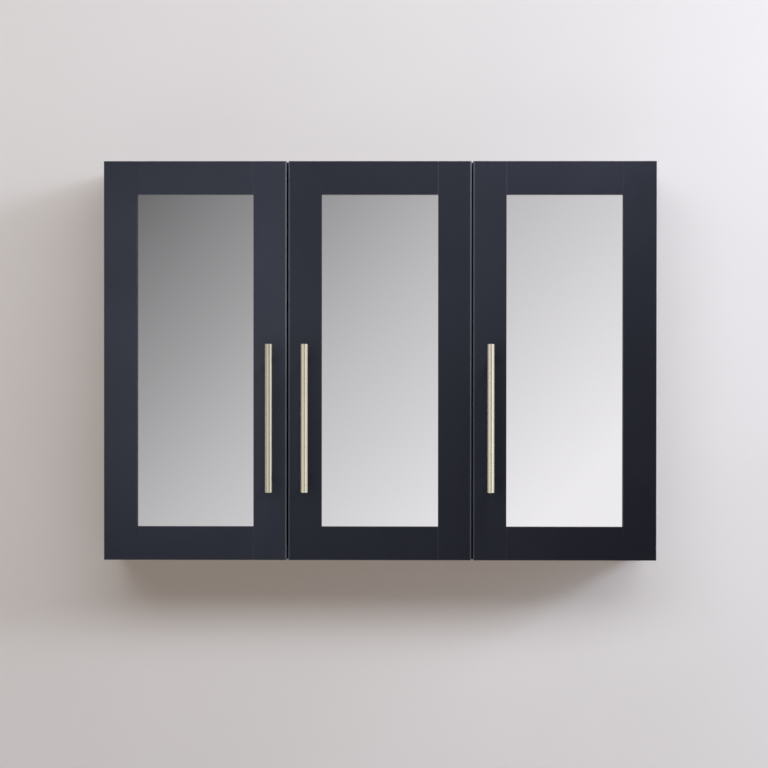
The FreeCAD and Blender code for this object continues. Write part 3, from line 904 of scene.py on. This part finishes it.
# World: a plain backdrop, and for reflections darker to the upper left, with a window on the right
worldSettings = {
    "ambient": rgb(0.90, 0.77, 0.67),
    "ambientStrength": 0.06,
    "mirrorTint": (1.0, 0.978, 1.008),
    "middle": 0.640,                      # tone straight ahead, and how it changes from there
    "rightward": 1.85,
    "upward": -1.93,
    "depthFloor": 0.08,
    "dimReach": (0.60, 0.38),             # tones below which the mirrors dim a little more
    "dimming": 0.032,
    "darkest": 0.13,
    "brightest": 0.93,
    "frontReach": (0.30, 0.18),           # headings from straight ahead, in radians
    "farLeftReach": (-1.6, -0.5),
    "farLeftTone": 0.36,
    "leftTone": 0.92,
    "sideReach": (-0.20, 0.32),
    "rightTone": 0.20,
    "windowReach": (0.50, 0.80),          # bright window on the right, which the handles show
    "windowTone": 0.86,
}


def makeWorld(settings):
    world = bpy.data.worlds.new("studio")
    bpy.context.scene.world = world
    world.use_nodes = True
    tree = NodeTree(world.node_tree)
    x, y, z = tree.axes(tree.node("ShaderNodeTexCoord", output="Generated"))
    # straight ahead, where the mirrors look
    depth = (0.0 - y).most(settings["depthFloor"])
    ahead = settings["middle"] + settings["rightward"] * (x / depth)
    ahead = ahead + settings["upward"] * (z / depth)
    ahead = ahead - ahead.ramp(*settings["dimReach"]) * settings["dimming"]
    ahead = ahead.most(settings["darkest"]).least(settings["brightest"])
    # to the sides, where the handles look
    heading = x.maths("ARCTAN2", x, 0.0 - y)
    sides = heading.ramp(*settings["farLeftReach"], settings["farLeftTone"], settings["leftTone"])
    sides = sides + heading.ramp(*settings["sideReach"]) * (settings["rightTone"] - sides)
    sides = sides + heading.ramp(*settings["windowReach"]) * (settings["windowTone"] - sides)
    front = abs(heading).ramp(*settings["frontReach"])
    tone = sides + front * (ahead - sides)
    red, green, blue = settings["mirrorTint"]
    tinted = {0: tone * red, 1: tone * green, 2: tone * blue}
    grey = tree.node("ShaderNodeCombineColor", None, tinted)
    path = tree.node("ShaderNodeLightPath")
    seen = path.out("Is Camera Ray")
    shone = path.out("Is Glossy Ray").most(path.out("Is Transmission Ray"))

    def background(colour, strength=1.0):
        return tree.node("ShaderNodeBackground", None, {0: colour, 1: strength})

    ambient = background(settings["ambient"], settings["ambientStrength"])
    lighting = tree.mixed(shone, ambient, background(grey))
    whole = tree.mixed(seen, lighting, background(stageSettings["backdropColour"]))
    tree.node("ShaderNodeOutputWorld", None, {"Surface": whole})


makeWorld(worldSettings)
print("world made")


# Lamps: soft panels, each with the pieces that it leaves out; size is width by height
lampSettings = {
    "rightWindow": {
        "place": (2.6, -0.65, 0.5), "aim": (0.0, -0.1, 0.0), "size": (0.8, 1.5),
        "power": 33.0, "colour": (0.88, 0.99, 1.19), "leavesOut": "door fronts",
    },
    "rightGlint": {
        "place": (2.4, -1.15, -0.1), "aim": (0.0, -0.17, -0.1), "size": (2.7, 1.3),
        "power": 8.0, "colour": (0.36, 0.37, 1.0), "leavesOut": "all but handles",
    },
    "wideTop": {
        "place": (0.4, -2.4, 1.5), "aim": (0.0, -0.1, 0.0), "size": (5.0, 1.2),
        "power": 80.0, "colour": (0.97, 0.995, 1.04), "leavesOut": "door fronts",
    },
    "upperRight": {
        "place": (3.9, -2.25, 1.6), "aim": (0.0, -0.1, 0.0), "size": (0.9, 0.9),
        "power": 76.0, "colour": (0.895, 0.99, 1.16), "leavesOut": "door fronts",
    },
    "leftFront": {
        "place": (-0.28, -0.62, 0.07), "aim": (-0.14, -0.15, 0.03), "size": (0.7, 0.7),
        "power": 3.9, "colour": (0.965, 1.02, 1.012), "leavesOut": "stage", "glossy": False,
    },
    "rightTop": {
        "place": (0.38, -0.5, 0.78), "aim": (0.2, -0.15, 0.3), "size": (0.4, 0.3),
        "power": 8.6, "colour": (0.99, 1.005, 1.0), "leavesOut": "stage", "glossy": False,
    },
    "leftSide": {
        "place": (-2.6, 0.1, 0.4), "aim": (0.0, -0.2, 0.0), "size": (0.8, 1.5),
        "power": 40.0, "colour": (1.0, 1.0, 1.0), "leavesOut": "all but frames",
    },
    "rightSide": {
        "place": (2.6, 0.1, 0.4), "aim": (0.0, -0.2, 0.0), "size": (0.8, 1.5),
        "power": 40.0, "colour": (1.0, 1.0, 1.0), "leavesOut": "all but frames",
    },
    "behind": {
        "place": (-1.4, 2.8, 1.3), "aim": (0.0, 0.0, 0.0), "size": (2.0, 2.0),
        "power": 110.0, "colour": (1.0, 1.0, 1.0), "leavesOut": "stage",
    },
}


def groupsLeftOut():
    frames = [nodes[name] for name in ofEachDoor("hinge_stile", "handle_stile", "rails", "beads")]
    handles = [nodes[name] for name in ofEachDoor("handle_bar", "handle_posts")]
    mirrors = [nodes[name] for name in ofEachDoor("mirror")]
    pieces = bpy.context.scene.objects
    return {
        "stage": stagePieces,
        "door fronts": frames + handles + mirrors,
        "all but handles": [piece for piece in pieces if piece not in handles],
        "all but frames": [piece for piece in pieces if piece not in frames],
    }


def makeLamp(name, settings, skipped):
    lamp = bpy.data.lights.new(name, "AREA")
    lamp.shape = "RECTANGLE"
    lamp.size, lamp.size_y = settings["size"]
    lamp.energy = settings["power"]
    lamp.color = settings["colour"]
    holder = bpy.data.objects.new(name, lamp)
    bpy.context.scene.collection.objects.link(holder)
    place = Vector(settings["place"])
    direction = Vector(settings["aim"]) - place
    aim = direction.to_track_quat("-Z", "Y").to_matrix().to_4x4()
    holder.matrix_world = Matrix.Translation(place) @ aim
    holder.visible_camera = False
    holder.visible_glossy = settings.get("glossy", True)
    lit = bpy.data.collections.new(name + " lights")
    for piece in bpy.context.scene.objects:
        if piece.type == "MESH" and piece not in skipped:
            lit.objects.link(piece)
    holder.light_linking.receiver_collection = lit


leftOut = groupsLeftOut()
for lampName, lampValues in lampSettings.items():
    makeLamp(lampName, lampValues, leftOut[lampValues["leavesOut"]])
bpy.context.scene.view_settings.view_transform = "Standard"
print("lamps lit")
